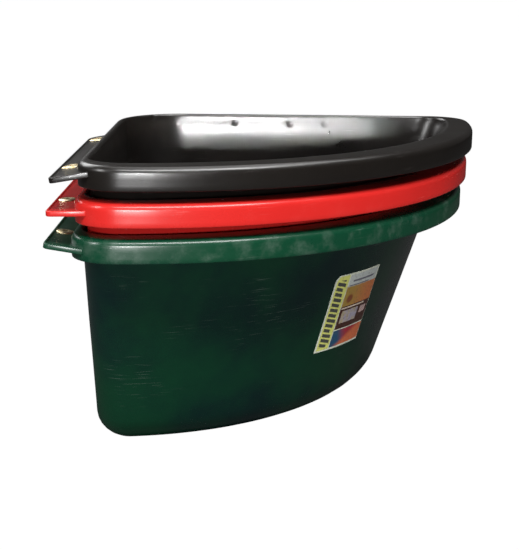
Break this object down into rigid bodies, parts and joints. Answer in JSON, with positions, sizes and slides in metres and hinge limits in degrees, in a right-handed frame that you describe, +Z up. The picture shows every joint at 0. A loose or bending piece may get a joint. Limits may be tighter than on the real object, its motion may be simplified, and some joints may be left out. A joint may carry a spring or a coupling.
{
  "type": "nested corner feeders",
  "caption": "Nest of deep quarter-round corner feed tubs with wide rims and flat mounting ears with brass grommets; each lifts straight out of the one below.",
  "frame": {"origin": "under the middle of the nest's box, at the underside of the lowest floor", "axes": "+X to the right along the back wall side, +Y away from the viewer towards the back wall side, +Z up; the rounded wall corner is at -X, +Y"},
  "size_m": [0.4918, 0.4918, 0.3422],
  "materials": {
    "green_plastic": "dark green moulded polyethylene, glossy with soft waviness and scuffs",
    "red_plastic": "bright red moulded polyethylene, glossy",
    "black_plastic": "black moulded polyethylene, glossy with soft waviness",
    "brass": "satin stamped brass",
    "label_film": null
  },
  "bodies": {
    "green_feeder": {"green_feeder_shell": "green_plastic", "green_left_outer_eyelet": "brass", "green_left_outer_washer": "brass", "green_left_inner_eyelet": "brass", "green_left_inner_washer": "brass", "green_back_outer_eyelet": "brass", "green_back_outer_washer": "brass", "green_back_inner_eyelet": "brass", "green_back_inner_washer": "brass", "green_front_label": "label_film"},
    "red_feeder": {"red_feeder_shell": "red_plastic", "red_left_outer_eyelet": "brass", "red_left_outer_washer": "brass", "red_left_inner_eyelet": "brass", "red_left_inner_washer": "brass", "red_back_outer_eyelet": "brass", "red_back_outer_washer": "brass", "red_back_inner_eyelet": "brass", "red_back_inner_washer": "brass"},
    "black_feeder": {"black_feeder_shell": "black_plastic", "black_left_outer_eyelet": "brass", "black_left_outer_washer": "brass", "black_left_inner_eyelet": "brass", "black_left_inner_washer": "brass", "black_back_outer_eyelet": "brass", "black_back_outer_washer": "brass", "black_back_inner_eyelet": "brass", "black_back_inner_washer": "brass"}
  },
  "joints": [
    {"name": "red_lift", "type": "slide", "parent": "green_feeder", "child": "red_feeder", "axis": [0, 0, 1], "range_m": [0, 0.3]},
    {"name": "black_lift", "type": "slide", "parent": "red_feeder", "child": "black_feeder", "axis": [0, 0, 1], "range_m": [0, 0.3]}
  ]
}
